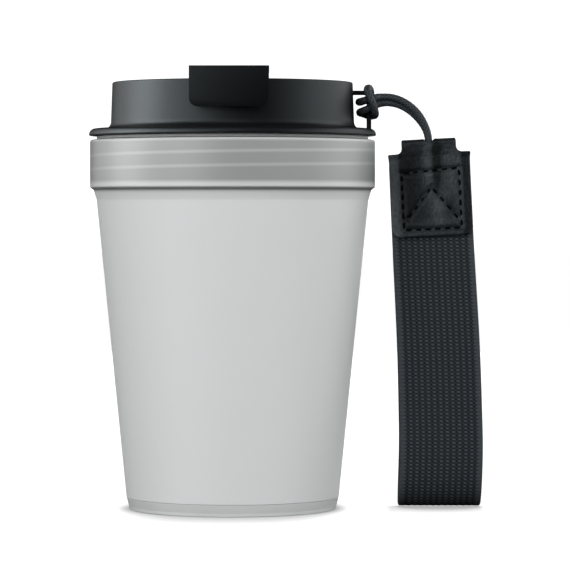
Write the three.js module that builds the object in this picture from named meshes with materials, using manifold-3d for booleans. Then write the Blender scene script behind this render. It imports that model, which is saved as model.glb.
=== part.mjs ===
// Insulated travel cup: a double-wall tumbler with a screw lid, a flip-up drinking closure and a
// wrist strap of webbing that hangs on a corded loop. Millimetres, +Z up, origin at the centre of
// the base, front (the flip tab) towards -Y, strap towards +X.
import * as THREE from "three";
import { mergeVertices } from "three/addons/utils/BufferGeometryUtils.js";
import Module from "manifold-3d";

const wasm = await Module();
wasm.setup();

// ---------------------------------------------------------------- driving dimensions (mm)
const TURN_FACETS = 48; // facets round every turned piece
const GAP = 0.3; // clearance between pieces that touch

// Cup: a straight cone with a cylindrical collar on top.
const CONE_RADIUS = 31.07; // outer radius of the cone where it meets the floor
const CONE_FLARE = 0.0995; // radius gained per millimetre of height
const FOOT_HEIGHT = 3.5; // visible band of the base cap
const FOOT_CORNER = 1.0;
const SHELL_WALL = 1.6;
const CONE_TOP = 91.3;
const COLLAR_BOTTOM = 95.0;
const COLLAR_RADIUS = 42.1;
const COLLAR_WALL = 1.6;
const RIM_HEIGHT = 109.0;
const RIM_CORNER = 1.0;

// Inner cup: tapered liner with a threaded neck inside the collar.
const LINER_WALL = 1.5;
const LINER_BOTTOM = 8.0;
const LINER_BOTTOM_RADIUS = 26.4;
const LINER_TOP = 92.2;
const LINER_TOP_RADIUS = 35.5;
const LINER_CORNER = 3.0;
const NECK_BOTTOM = 94.7;
const NECK_RADIUS = COLLAR_RADIUS - COLLAR_WALL - GAP;
const NECK_BORE = NECK_RADIUS - LINER_WALL;

// Thread: one start, right-hand.
const PITCH = 4.0;
const THREAD_DEPTH = 0.9;
const THREAD_ROOT_WIDTH = 1.7;
const THREAD_CREST_WIDTH = 0.9;
const CUP_THREAD_BOTTOM = 99.1; // ridge height where the cup thread passes the front
const CUP_THREAD_TURNS = 2.0;
const LID_THREAD_TURNS = 1.5;

// Lid: drum, flange, threaded skirt.
const FLANGE_RADIUS = 42.4;
const FLANGE_BOTTOM = 110.2;
const FLANGE_TOP = 112.3;
const FLANGE_CORNER = 1.9; // of the upper edge; the lower edge is sharp
const DRUM_TOP = 125.95;
const DRUM_TOP_RADIUS = 35.5;
const DRUM_FOOT_RADIUS = 36.0;
const DRUM_FILLET = 2.0;
const DRUM_CORNER = 0.8;
const RIM_WALL = 2.0;
const LID_WALL = 1.6;
const DECK_TOP = 121.5;
const DECK_THICKNESS = 1.8;
const SKIRT_RADIUS = NECK_BORE - THREAD_DEPTH - 0.4;
const SKIRT_WALL = 2.0;
const SKIRT_BOTTOM = 97.0;

// Gasket between the lid flange and the rim of the inner cup.
const GASKET_OUTER = 40.1;
const GASKET_INNER = 38.0;
const GASKET_HEIGHT = 0.8;

// Flip lever and its hinge.
const TAB_WIDTH = 22.8;
const TAB_TOP = 129.4;
const TAB_BOTTOM = 117.8;
const TAB_FRONT = -38.8;
const TAB_THICKNESS = 1.8;
const TAB_CORNER = 2.4;
const PLATE_THICKNESS = 2.0;
const PLATE_TAPER_START = TAB_FRONT + 6; // the plate narrows from here to its barrel
const PLATE_TAPER_END_GAP = 6; // it is as narrow as the barrel this far in front of the hinge
const HINGE_Y = 6.0;
const HINGE_Z = 125.3;
const BARREL_RADIUS = 2.9;
const BARREL_HALF = 8.0;
const PIN_RADIUS = 1.0;
const EAR_WIDTH = 2.3;

// Drinking hole and vent, with their silicone plugs.
const SPOUT_Y = -26.0;
const SPOUT_RADIUS = 5.1;
const VENT_Y = -11.0;
const VENT_RADIUS = 1.4;

// Strap eye on the lid: one upright bar and one bar back to the drum.
const EYE_X = 40.3;
const EYE_BAR = 1.4;
const EYE_DEPTH = 2.4;
const EYE_TOP_BAR = 1.3;
const EYE_TOP_Z = 122.9;

// Cord, leather patch and webbing.
const CORD_RADIUS = 1.0;
const HITCH_BOTTOM = 116.4;
const HITCH_TOP = 121.9;
const PATCH_TOP = 109.3;
const PATCH_LENGTH = 28.8;
const PATCH_HALF_WIDTH = 11.9;
const PATCH_NECK_HALF = 8.0;
const PATCH_SHOULDER = 4.15; // height of the shoulders below the top
const PATCH_FILLET = 1.7; // between the neck and each shoulder
const PATCH_CORNER = 2.5;
const PATCH_TILT = 2.9; // degrees, top towards the cup
const PATCH_HALF_THICKNESS = 2.95;
const LEATHER = 1.1;
const WEBBING_WIDTH = 24.55;
const WEBBING_THICKNESS = 1.4;
const THREAD_WIDTH = 0.7;
const THREAD_PROUD = 0.3;
const STITCH_BOX = 17.0;

// ---------------------------------------------------------------- geometry helpers
const RAD = Math.PI / 180;

function solidOf(geometry) {
  const bare = geometry.clone();
  bare.deleteAttribute("normal");
  bare.deleteAttribute("uv");
  const merged = mergeVertices(bare, 1e-3);
  const mesh = new wasm.Mesh({
    numProp: 3,
    vertProperties: merged.attributes.position.array,
    triVerts: new Uint32Array(merged.index.array),
  });
  return new wasm.Manifold(mesh);
}

function geometryOf(solid) {
  const mesh = solid.getMesh();
  const geometry = new THREE.BufferGeometry();
  geometry.setAttribute("position", new THREE.BufferAttribute(mesh.vertProperties, 3));
  geometry.setIndex(new THREE.BufferAttribute(mesh.triVerts, 1));
  return geometry;
}

function joined(solids) {
  return solids.reduce((sum, solid) => sum.add(solid));
}

// Points [radius, height] along an arc of a turned profile, ends included.
function arc(centreRadius, centreHeight, radius, startDegrees, endDegrees, steps = 3) {
  const points = [];
  for (let i = 0; i <= steps; i++) {
    const angle = (startDegrees + ((endDegrees - startDegrees) * i) / steps) * RAD;
    points.push([centreRadius + radius * Math.cos(angle), centreHeight + radius * Math.sin(angle)]);
  }
  return points;
}

// A profile of [radius, height] points turned round the Z axis. It runs anticlockwise in that plane.
function turned(profile, facets = TURN_FACETS) {
  const points = profile.map(([radius, height]) => new THREE.Vector2(radius, height));
  const geometry = new THREE.LatheGeometry(points, facets);
  geometry.rotateX(Math.PI / 2);
  return geometry;
}

// A closed ring profile ends where it starts.
function turnedRing(profile) {
  return turned([...profile, profile[0]]);
}

function box(centre, size) {
  return new THREE.BoxGeometry(...size).translate(...centre);
}

// A round bar along X.
function barAlongX(centre, radius, length, facets = 16) {
  return new THREE.CylinderGeometry(radius, radius, length, facets)
    .rotateZ(Math.PI / 2)
    .translate(...centre);
}

// A round bar along Z.
function barAlongZ(centre, radius, length, facets = 24) {
  return new THREE.CylinderGeometry(radius, radius, length, facets)
    .rotateX(Math.PI / 2)
    .translate(...centre);
}

function extruded(shape, depth, curveSegments = 4, steps = 1) {
  return new THREE.ExtrudeGeometry(shape, { depth, steps, bevelEnabled: false, curveSegments });
}

// A screw ridge: a straight trapezoid bar whose length is wrapped into a helix round Z. The bar's
// own coordinates are x = height, y = radius and z = angle. Its height fades in and out at the ends.
function threadRidge({ rootRadius, crestRadius, startHeight, startAngle, turns }) {
  const bury = Math.sign(rootRadius - crestRadius) * 0.4;
  const section = new THREE.Shape([
    new THREE.Vector2(-THREAD_ROOT_WIDTH / 2, rootRadius + bury),
    new THREE.Vector2(THREAD_ROOT_WIDTH / 2, rootRadius + bury),
    new THREE.Vector2(THREAD_CREST_WIDTH / 2, crestRadius),
    new THREE.Vector2(-THREAD_CREST_WIDTH / 2, crestRadius),
  ]);
  const steps = Math.round(turns * TURN_FACETS);
  const geometry = extruded(section, turns, 1, steps);
  const position = geometry.attributes.position;
  const fadeTurns = 3 / TURN_FACETS;
  for (let i = 0; i < position.count; i++) {
    const along = position.getZ(i);
    const fade = Math.min(1, along / fadeTurns, (turns - along) / fadeTurns);
    const faded = rootRadius + bury * 0.5;
    const radius = faded + (position.getY(i) - faded) * Math.max(fade, 0.05);
    const angle = startAngle + along * 2 * Math.PI;
    const height = startHeight + along * PITCH + position.getX(i);
    position.setXYZ(i, radius * Math.cos(angle), radius * Math.sin(angle), height);
  }
  return geometry;
}

// ---------------------------------------------------------------- cup
const coneRadius = (height) => CONE_RADIUS + CONE_FLARE * height;
const FRONT = -Math.PI / 2;

function makeBaseCap() {
  const corner = FOOT_CORNER;
  const lip = coneRadius(FOOT_HEIGHT) - SHELL_WALL - GAP;
  const lipTop = FOOT_HEIGHT + 3;
  const floorTop = 1.8;
  return solidOf(
    turned([
      [0, 0],
      ...arc(coneRadius(0) - corner, corner, corner, -90, 0),
      [coneRadius(FOOT_HEIGHT), FOOT_HEIGHT],
      [lip, FOOT_HEIGHT],
      [lip, lipTop],
      [lip - SHELL_WALL, lipTop],
      [lip - SHELL_WALL, floorTop],
      [0, floorTop],
    ]),
  );
}

function makeOuterShell() {
  const bottom = FOOT_HEIGHT + GAP;
  const collarBore = COLLAR_RADIUS - COLLAR_WALL;
  return solidOf(
    turnedRing([
      [coneRadius(bottom) - SHELL_WALL, bottom],
      [coneRadius(bottom), bottom],
      [coneRadius(CONE_TOP), CONE_TOP],
      [40.4, 92.8],
      [41.0, 93.9],
      ...arc(COLLAR_RADIUS - 0.5, COLLAR_BOTTOM, 0.5, -70, 0, 2),
      ...arc(COLLAR_RADIUS - RIM_CORNER, RIM_HEIGHT - RIM_CORNER, RIM_CORNER, 0, 90),
      [collarBore, RIM_HEIGHT],
      [collarBore, COLLAR_BOTTOM - 0.9],
      [coneRadius(CONE_TOP) - SHELL_WALL, CONE_TOP],
    ]),
  );
}

function makeInnerCup() {
  const corner = LINER_CORNER;
  const innerCorner = corner - 1;
  const bottomRadius = LINER_BOTTOM_RADIUS;
  const boreBottom = bottomRadius - LINER_WALL;
  const floorTop = LINER_BOTTOM + LINER_WALL;
  const wall = solidOf(
    turned([
      [0, LINER_BOTTOM],
      ...arc(bottomRadius - corner, LINER_BOTTOM + corner, corner, -90, 0),
      [LINER_TOP_RADIUS, LINER_TOP],
      [NECK_RADIUS, NECK_BOTTOM],
      [NECK_RADIUS, RIM_HEIGHT],
      [NECK_BORE, RIM_HEIGHT],
      [NECK_BORE, NECK_BOTTOM + 1.2],
      [LINER_TOP_RADIUS - LINER_WALL, LINER_TOP + 0.8],
      ...arc(boreBottom - innerCorner, floorTop + innerCorner, innerCorner, 0, -90),
      [0, floorTop],
    ]),
  );
  const ridge = threadRidge({
    rootRadius: NECK_BORE,
    crestRadius: NECK_BORE - THREAD_DEPTH,
    startHeight: CUP_THREAD_BOTTOM,
    startAngle: FRONT - Math.PI,
    turns: CUP_THREAD_TURNS,
  });
  return wall.add(solidOf(ridge));
}

// ---------------------------------------------------------------- lid
function makeLidShell() {
  const deckBottom = DECK_TOP - DECK_THICKNESS;
  const rimBore = DRUM_TOP_RADIUS - RIM_WALL;
  const drumBore = DRUM_TOP_RADIUS - LID_WALL;
  const skirtBore = SKIRT_RADIUS - SKIRT_WALL;
  return solidOf(
    turned([
      [0, deckBottom],
      [drumBore, deckBottom],
      [drumBore, FLANGE_TOP],
      [skirtBore, FLANGE_BOTTOM - 1],
      [skirtBore, SKIRT_BOTTOM],
      [SKIRT_RADIUS - 0.6, SKIRT_BOTTOM],
      [SKIRT_RADIUS, SKIRT_BOTTOM + 0.8],
      [SKIRT_RADIUS, FLANGE_BOTTOM],
      [FLANGE_RADIUS, FLANGE_BOTTOM],
      ...arc(FLANGE_RADIUS - FLANGE_CORNER, FLANGE_TOP - FLANGE_CORNER, FLANGE_CORNER, 0, 90),
      ...arc(DRUM_FOOT_RADIUS + DRUM_FILLET, FLANGE_TOP + DRUM_FILLET, DRUM_FILLET, 270, 180),
      ...arc(DRUM_TOP_RADIUS - DRUM_CORNER, DRUM_TOP - DRUM_CORNER, DRUM_CORNER, 0, 90),
      [rimBore, DRUM_TOP],
      [rimBore, DECK_TOP],
      [0, DECK_TOP],
    ]),
  );
}

// The eye that the cord is hitched to: an upright bar on the flange and a bar back to the drum.
function makeStrapEye() {
  const top = EYE_TOP_Z + EYE_TOP_BAR / 2;
  const foot = FLANGE_TOP - 0.6;
  const outer = EYE_X + EYE_BAR / 2;
  const inner = DRUM_TOP_RADIUS - 1;
  const upright = box([EYE_X, 0, (foot + top) / 2], [EYE_BAR, EYE_DEPTH, top - foot]);
  const bar = box([(inner + outer) / 2, 0, EYE_TOP_Z], [outer - inner, EYE_DEPTH, EYE_TOP_BAR]);
  return [solidOf(upright), solidOf(bar)];
}

// An ear on each side of the lever's barrel, with a round top about the hinge axis.
function makeHingeEar(side) {
  const centreX = side * (BARREL_HALF + GAP + EAR_WIDTH / 2);
  const radius = BARREL_RADIUS;
  const foot = DECK_TOP - 0.5;
  const post = box([centreX, HINGE_Y, (foot + HINGE_Z) / 2], [EAR_WIDTH, 2 * radius, HINGE_Z - foot]);
  const head = barAlongX([centreX, HINGE_Y, HINGE_Z], radius, EAR_WIDTH);
  return solidOf(post).add(solidOf(head));
}

function makeLidBody() {
  const deckMiddle = DECK_TOP - DECK_THICKNESS / 2;
  const ridge = threadRidge({
    rootRadius: SKIRT_RADIUS,
    crestRadius: SKIRT_RADIUS + THREAD_DEPTH,
    startHeight: CUP_THREAD_BOTTOM + PITCH / 2 - PITCH / 4,
    startAngle: FRONT + Math.PI / 2,
    turns: LID_THREAD_TURNS,
  });
  const pieces = [makeLidShell(), solidOf(ridge), ...makeStrapEye(), makeHingeEar(-1), makeHingeEar(1)];
  const pinHole = barAlongX([0, HINGE_Y, HINGE_Z], PIN_RADIUS + GAP, 40, 12);
  const spout = barAlongZ([0, SPOUT_Y, deckMiddle], SPOUT_RADIUS, 4);
  const vent = barAlongZ([0, VENT_Y, deckMiddle], VENT_RADIUS, 4, 12);
  return [pinHole, spout, vent].map(solidOf).reduce((rest, hole) => rest.subtract(hole), joined(pieces));
}

function makeGasket() {
  const bottom = RIM_HEIGHT + (FLANGE_BOTTOM - RIM_HEIGHT - GASKET_HEIGHT) / 2;
  return solidOf(
    turnedRing([
      [GASKET_INNER, bottom],
      [GASKET_OUTER, bottom],
      [GASKET_OUTER, bottom + GASKET_HEIGHT],
      [GASKET_INNER, bottom + GASKET_HEIGHT],
    ]),
  );
}

function makeHingePin() {
  const length = 2 * (BARREL_HALF + GAP + EAR_WIDTH);
  return solidOf(barAlongX([0, HINGE_Y, HINGE_Z], PIN_RADIUS, length, 12));
}

// The lever: a plate from the hinge to the front, a tab that hangs over the drum's front edge, a
// barrel on the hinge axis and a boss for each plug.
function makeFlipLever() {
  const half = TAB_WIDTH / 2;
  const plateBottom = TAB_TOP - PLATE_THICKNESS;
  const outline = new THREE.Shape();
  outline.moveTo(-half, TAB_FRONT);
  outline.lineTo(half, TAB_FRONT);
  outline.lineTo(half, PLATE_TAPER_START);
  outline.lineTo(BARREL_HALF, HINGE_Y - PLATE_TAPER_END_GAP);
  outline.lineTo(BARREL_HALF, HINGE_Y);
  outline.lineTo(-BARREL_HALF, HINGE_Y);
  outline.lineTo(-BARREL_HALF, HINGE_Y - PLATE_TAPER_END_GAP);
  outline.lineTo(-half, PLATE_TAPER_START);
  const plate = extruded(outline, PLATE_THICKNESS).translate(0, 0, plateBottom);

  const tab = new THREE.Shape();
  tab.moveTo(-half, TAB_TOP);
  tab.lineTo(-half, TAB_BOTTOM + TAB_CORNER);
  tab.absarc(-half + TAB_CORNER, TAB_BOTTOM + TAB_CORNER, TAB_CORNER, Math.PI, 1.5 * Math.PI);
  tab.absarc(half - TAB_CORNER, TAB_BOTTOM + TAB_CORNER, TAB_CORNER, 1.5 * Math.PI, 2 * Math.PI);
  tab.lineTo(half, TAB_TOP);
  const tabPlate = extruded(tab, TAB_THICKNESS)
    .rotateX(Math.PI / 2)
    .translate(0, TAB_FRONT + TAB_THICKNESS, 0);

  const barrel = barAlongX([0, HINGE_Y, HINGE_Z], BARREL_RADIUS, 2 * BARREL_HALF);
  const spoutBoss = barAlongZ([0, SPOUT_Y, plateBottom - 1.5], SPOUT_RADIUS - 1, 4, 16);
  const ventBoss = barAlongZ([0, VENT_Y, plateBottom - 1.5], VENT_RADIUS + 0.6, 4, 12);
  const bore = barAlongX([0, HINGE_Y, HINGE_Z], PIN_RADIUS + GAP, 40, 12);
  return joined([plate, tabPlate, barrel, spoutBoss, ventBoss].map(solidOf)).subtract(solidOf(bore));
}

// A silicone plug: a flange that seals on the deck and a tapered body in the hole.
function makePlug(centreY, holeRadius, depth) {
  const flangeRadius = holeRadius + 1.2;
  const bottom = DECK_TOP + 0.2;
  const top = TAB_TOP - PLATE_THICKNESS - 3.5 - GAP;
  return solidOf(
    turned(
      [
        [0, bottom - depth],
        [holeRadius - 0.9, bottom - depth],
        [holeRadius - 0.4, bottom],
        [flangeRadius, bottom],
        [flangeRadius, top],
        [0, top],
      ],
      16,
    ).translate(0, centreY, 0),
  );
}

// ---------------------------------------------------------------- cord
// A tube along a smooth curve through the points, with one closed end cap each side.
function tube(points, radius, steps, sides = 8) {
  const section = new THREE.Shape();
  for (let i = 0; i < sides; i++) {
    const angle = (i / sides) * 2 * Math.PI;
    const move = i === 0 ? "moveTo" : "lineTo";
    section[move](radius * Math.cos(angle), radius * Math.sin(angle));
  }
  const path = new THREE.CatmullRomCurve3(points.map((point) => new THREE.Vector3(...point)));
  return new THREE.ExtrudeGeometry(section, { steps, bevelEnabled: false, extrudePath: path });
}

// Outer form of the cord where it is hitched round the upright bar of the eye.
function makeCordHitch() {
  const inner = Math.hypot(EYE_BAR, EYE_DEPTH) / 2;
  const corner = 2 * CORD_RADIUS;
  const ring = new THREE.Shape();
  ring.absarc(inner, inner, corner, 0, Math.PI / 2);
  ring.absarc(-inner, inner, corner, Math.PI / 2, Math.PI);
  ring.absarc(-inner, -inner, corner, Math.PI, 1.5 * Math.PI);
  ring.absarc(inner, -inner, corner, 1.5 * Math.PI, 2 * Math.PI);
  const height = HITCH_TOP - HITCH_BOTTOM;
  const whole = extruded(ring, height).translate(EYE_X, 0, HITCH_BOTTOM);
  const hole = box([EYE_X, 0, HITCH_BOTTOM + height / 2], [2 * inner, 2 * inner, 2 * height]);
  return solidOf(whole).subtract(solidOf(hole));
}

// Centre lines of the two strands from the hitch to the top of the leather patch. They lie one
// above the other at the hitch and one behind the other at the patch.
const UPPER_STRAND = [
  [43.8, -0.2, 121.75],
  [46.6, -0.5, 121.7],
  [49.6, -0.75, 120.8],
  [52.6, -0.9, 119.0],
  [55.2, -1.05, 116.3],
  [57.0, -1.1, 113.0],
  [57.9, -1.1, 109.8],
];
const LOWER_STRAND = [
  [43.8, 0.2, 119.6],
  [46.3, 0.4, 119.65],
  [49.1, 0.6, 119.05],
  [51.9, 0.75, 117.7],
  [54.6, 0.9, 115.3],
  [56.7, 1.05, 112.5],
  [57.7, 1.1, 109.8],
];

function makeStrand(points) {
  return solidOf(tube(points, CORD_RADIUS, 16));
}

// ---------------------------------------------------------------- leather patch and webbing
// The strap's middle line leans and bows slightly: x at a given height.
const strapLine = new THREE.SplineCurve([
  new THREE.Vector2(61.3, 0),
  new THREE.Vector2(61.8, 16),
  new THREE.Vector2(61.65, 28),
  new THREE.Vector2(60.9, 50),
  new THREE.Vector2(59.2, 80),
  new THREE.Vector2(57.85, PATCH_TOP),
]);

function strapX(height) {
  const reach = THREE.MathUtils.clamp(height / PATCH_TOP, 0, 1);
  let low = 0;
  let high = 1;
  for (let i = 0; i < 20; i++) {
    const middle = (low + high) / 2;
    if (strapLine.getPoint(middle).y < reach * PATCH_TOP) low = middle;
    else high = middle;
  }
  return strapLine.getPoint(low).x;
}

const PATCH_TOP_X = strapX(PATCH_TOP);

// From the patch's own frame (x across, z down from its top fold) to the object's.
function placePatch(geometry) {
  return geometry.rotateY(-PATCH_TILT * RAD).translate(PATCH_TOP_X, 0, PATCH_TOP);
}

function makeLeatherPatch() {
  const wide = PATCH_HALF_WIDTH;
  const neck = PATCH_NECK_HALF;
  const shoulder = -PATCH_SHOULDER;
  const filletX = neck + PATCH_FILLET;
  const filletZ = shoulder + PATCH_FILLET;
  const cornerX = wide - PATCH_CORNER;
  const cornerZ = PATCH_CORNER - PATCH_LENGTH;
  const outline = new THREE.Shape();
  outline.moveTo(neck, 0);
  outline.lineTo(-neck, 0);
  outline.absarc(-filletX, filletZ, PATCH_FILLET, 0, -Math.PI / 2, true);
  outline.lineTo(-wide, shoulder);
  outline.absarc(-cornerX, cornerZ, PATCH_CORNER, Math.PI, 1.5 * Math.PI);
  outline.absarc(cornerX, cornerZ, PATCH_CORNER, 1.5 * Math.PI, 2 * Math.PI);
  outline.lineTo(wide, shoulder);
  outline.absarc(filletX, filletZ, PATCH_FILLET, -Math.PI / 2, -Math.PI, true);
  const cut = extruded(outline, 10).translate(0, 0, -5).rotateX(Math.PI / 2);

  const outer = PATCH_HALF_THICKNESS;
  const inner = outer - LEATHER;
  const fold = new THREE.Shape();
  fold.moveTo(-outer, -PATCH_LENGTH - 1);
  fold.lineTo(-inner, -PATCH_LENGTH - 1);
  fold.absarc(0, -outer, inner, Math.PI, 0, true);
  fold.lineTo(inner, -PATCH_LENGTH - 1);
  fold.lineTo(outer, -PATCH_LENGTH - 1);
  fold.absarc(0, -outer, outer, 0, Math.PI, false);
  const folded = extruded(fold, 40, 6).translate(0, 0, -20).rotateX(Math.PI / 2).rotateZ(Math.PI / 2);
  const leather = solidOf(cut).intersect(solidOf(folded));
  return solidOf(placePatch(geometryOf(leather)));
}

// The cord's ends are knotted inside the fold, above the webbing.
function makeEndKnot() {
  const knot = new THREE.SphereGeometry(1, 12, 8).scale(3.0, PATCH_HALF_THICKNESS - LEATHER - GAP, 2.2);
  return solidOf(knot.translate(PATCH_TOP_X + 0.2, 0, PATCH_TOP - 5));
}

// Middle of the folded webbing seen from the side, as [y, z]: down the front leg, which hangs
// straight, round the bottom and up the back leg, which stands off from it.
const WEBBING_LINE = [
  [-0.85, 101.3],
  [-0.85, 92.0],
  [-0.85, 84.0],
  [-0.9, 70.0],
  [-1.0, 50.0],
  [-1.2, 28.0],
  [-1.3, 15.0],
  [-0.1, 6.6],
  [3.6, 1.9],
  [8.5, 0.8],
  [13.3, 1.9],
  [16.9, 6.6],
  [18.0, 15.0],
  [16.6, 28.0],
  [11.6, 50.0],
  [4.7, 70.0],
  [1.2, 78.5],
  [0.85, 84.0],
  [0.85, 92.0],
  [0.85, 101.3],
];

function makeWebbing() {
  const half = WEBBING_THICKNESS / 2;
  const line = WEBBING_LINE.map(([y, z]) => new THREE.Vector2(y, z));
  const curve = new THREE.SplineCurve(line);
  const samples = 56;
  const left = [];
  const right = [];
  for (let i = 0; i <= samples; i++) {
    const point = curve.getPoint(i / samples);
    const tangent = curve.getTangent(i / samples);
    const side = new THREE.Vector2(-tangent.y, tangent.x).multiplyScalar(half);
    left.push(point.clone().add(side));
    right.push(point.clone().sub(side));
  }
  const band = new THREE.Shape([...left, ...right.reverse()]);
  const geometry = extruded(band, WEBBING_WIDTH).translate(0, 0, -WEBBING_WIDTH / 2);
  const position = geometry.attributes.position;
  for (let i = 0; i < position.count; i++) {
    const across = position.getZ(i);
    const outward = position.getX(i);
    const height = position.getY(i);
    position.setXYZ(i, strapX(height) + across, outward, height);
  }
  return solidOf(geometry);
}

// Sewing thread on one face of the patch: a square with a triangle in it.
function makeStitching(side) {
  const half = STITCH_BOX / 2;
  const top = -9.6;
  const bottom = top - STITCH_BOX;
  const corners = [
    [-half, bottom],
    [half, bottom],
    [half, top],
    [-half, top],
  ];
  const apex = [0, top - 4.5];
  const feet = [
    [1.2 - half, bottom],
    [half - 1.2, bottom],
  ];
  const lines = corners.map((corner, i) => [corner, corners[(i + 1) % corners.length]]);
  lines.push([apex, feet[0]], [apex, feet[1]]);
  const surface = side * (PATCH_HALF_THICKNESS + THREAD_PROUD / 2 + 0.05);
  const bars = lines.map(([from, to]) => {
    const run = Math.hypot(to[0] - from[0], to[1] - from[1]) + THREAD_WIDTH;
    const turn = Math.atan2(to[1] - from[1], to[0] - from[0]);
    const bar = new THREE.BoxGeometry(run, THREAD_PROUD, THREAD_WIDTH).rotateY(-turn);
    return bar.translate((from[0] + to[0]) / 2, surface, (from[1] + to[1]) / 2);
  });
  return solidOf(placePatch(geometryOf(joined(bars.map(solidOf)))));
}

// ---------------------------------------------------------------- assembly
const group = new THREE.Group();

function addPiece(parent, name, solid, color, roughness, metalness = 0) {
  const material = new THREE.MeshStandardMaterial({ color, roughness, metalness });
  const mesh = new THREE.Mesh(geometryOf(solid), material);
  mesh.name = name;
  parent.add(mesh);
}

const cup = new THREE.Group();
addPiece(cup, "base_cap", makeBaseCap(), 0xb0b4b5, 0.55);
addPiece(cup, "outer_shell", makeOuterShell(), 0xcbcecd, 0.6);
addPiece(cup, "inner_cup", makeInnerCup(), 0xd8dad9, 0.5);
group.add(cup);

const lid = new THREE.Group();
addPiece(lid, "lid_body", makeLidBody(), 0x232425, 0.4);
addPiece(lid, "lid_gasket", makeGasket(), 0x9a9c9d, 0.6);
addPiece(lid, "hinge_pin", makeHingePin(), 0xb8b8b8, 0.3, 1);
addPiece(lid, "flip_lever", makeFlipLever(), 0x1f2021, 0.4);
addPiece(lid, "spout_plug", makePlug(SPOUT_Y, SPOUT_RADIUS, 2.6), 0x2a2a2b, 0.7);
addPiece(lid, "vent_plug", makePlug(VENT_Y, VENT_RADIUS, 1.4), 0x2a2a2b, 0.7);
group.add(lid);

const strap = new THREE.Group();
addPiece(strap, "cord_hitch", makeCordHitch(), 0x1a1a1b, 0.85);
addPiece(strap, "cord_upper_strand", makeStrand(UPPER_STRAND), 0x1a1a1b, 0.85);
addPiece(strap, "cord_lower_strand", makeStrand(LOWER_STRAND), 0x1a1a1b, 0.85);
addPiece(strap, "cord_end_knot", makeEndKnot(), 0x1a1a1b, 0.85);
addPiece(strap, "leather_patch", makeLeatherPatch(), 0x1c1c1d, 0.55);
addPiece(strap, "webbing_loop", makeWebbing(), 0x17171a, 0.9);
addPiece(strap, "needle_thread", makeStitching(-1), 0x202022, 0.8);
addPiece(strap, "bobbin_thread", makeStitching(1), 0x202022, 0.8);
group.add(strap);

export default group;
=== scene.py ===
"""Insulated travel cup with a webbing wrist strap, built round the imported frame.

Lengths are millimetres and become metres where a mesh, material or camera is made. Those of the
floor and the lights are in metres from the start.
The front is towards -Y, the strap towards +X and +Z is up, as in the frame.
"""
import math

import bmesh
import bpy
import numpy as np
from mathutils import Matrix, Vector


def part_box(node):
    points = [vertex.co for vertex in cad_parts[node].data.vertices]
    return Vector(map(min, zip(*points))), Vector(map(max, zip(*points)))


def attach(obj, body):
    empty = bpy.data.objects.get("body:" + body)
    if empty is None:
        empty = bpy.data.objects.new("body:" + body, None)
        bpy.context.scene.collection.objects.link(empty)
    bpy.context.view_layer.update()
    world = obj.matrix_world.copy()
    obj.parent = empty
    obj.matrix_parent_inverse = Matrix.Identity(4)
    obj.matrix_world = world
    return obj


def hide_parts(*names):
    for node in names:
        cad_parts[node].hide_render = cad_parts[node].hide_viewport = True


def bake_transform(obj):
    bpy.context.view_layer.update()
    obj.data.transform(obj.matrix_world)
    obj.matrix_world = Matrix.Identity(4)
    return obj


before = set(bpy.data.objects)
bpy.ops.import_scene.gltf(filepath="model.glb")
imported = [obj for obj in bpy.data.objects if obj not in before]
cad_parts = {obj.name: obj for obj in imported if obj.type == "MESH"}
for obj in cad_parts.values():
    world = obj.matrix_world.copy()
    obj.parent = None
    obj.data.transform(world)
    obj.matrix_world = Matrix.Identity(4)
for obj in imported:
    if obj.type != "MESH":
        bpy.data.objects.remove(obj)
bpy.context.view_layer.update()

MM = 0.001
TURN_STEPS = 192  # facets round a turned piece
ARC_STEPS = 6  # facets round a small corner
CREASE = 35  # edges that turn by more than this many degrees stay sharp
SOFT_CREASE = 60  # the same for the cord, leather, webbing and stitches

# Cup
CONE_RADIUS = 31.07  # at the floor
CONE_FLARE = 0.0995  # radius gained per millimetre of height
FOOT_HEIGHT = 3.5
SHELL_WALL = 1.6
PIECE_GAP = 0.3
CONE_TOP = 91.3
COLLAR_BOTTOM = 95.0
COLLAR_RADIUS = 42.1
COLLAR_BORE = 40.5
RIM_HEIGHT = 109.0
LINER_WALL = 1.5
LINER_BOTTOM = 8.0
LINER_BOTTOM_RADIUS = 26.4
LINER_TOP = 92.2
LINER_TOP_RADIUS = 35.5
NECK_BOTTOM = 94.7
NECK_RADIUS = 40.2
NECK_BORE = 38.7

# Thread
PITCH = 4.0
THREAD_DEPTH = 0.9
THREAD_ROOT = 1.7
THREAD_CREST = 0.9
CUP_THREAD_START = 99.1
LID_THREAD_START = 100.1

# Lid
FLANGE_RADIUS = 42.4
FLANGE_BOTTOM = 110.2
FLANGE_TOP = 112.3
FLANGE_CORNER = 1.75
DRUM_TOP = 125.95
DRUM_TOP_RADIUS = 35.5
DRUM_FOOT_RADIUS = 36.0
DRUM_FILLET = 2.0
DRUM_WALL = 1.6  # just below the deck, where it is thinnest
DRUM_RIM = 2.0  # width of the rim above the deck
DECK_TOP = 121.5
DECK_THICKNESS = 1.8
SKIRT_RADIUS = 37.4
SKIRT_BORE = 35.4
SKIRT_BOTTOM = 97.0
GASKET_INNER = 38.0
GASKET_OUTER = 40.1
HINGE_Y = 6.0
HINGE_Z = 125.3
BARREL_RADIUS = 2.9
BARREL_HALF = 8.0
EAR_WIDTH = 2.3
PIN_RADIUS = 1.0
SPOUT_Y = -26.0
SPOUT_RADIUS = 5.1
VENT_Y = -11.0
VENT_RADIUS = 1.4
EYE_X = 40.3
EYE_WIDTH = 1.4
EYE_DEPTH = 2.4
EYE_TOP_Z = 122.9
EYE_TOP_BAR = 1.3

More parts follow.
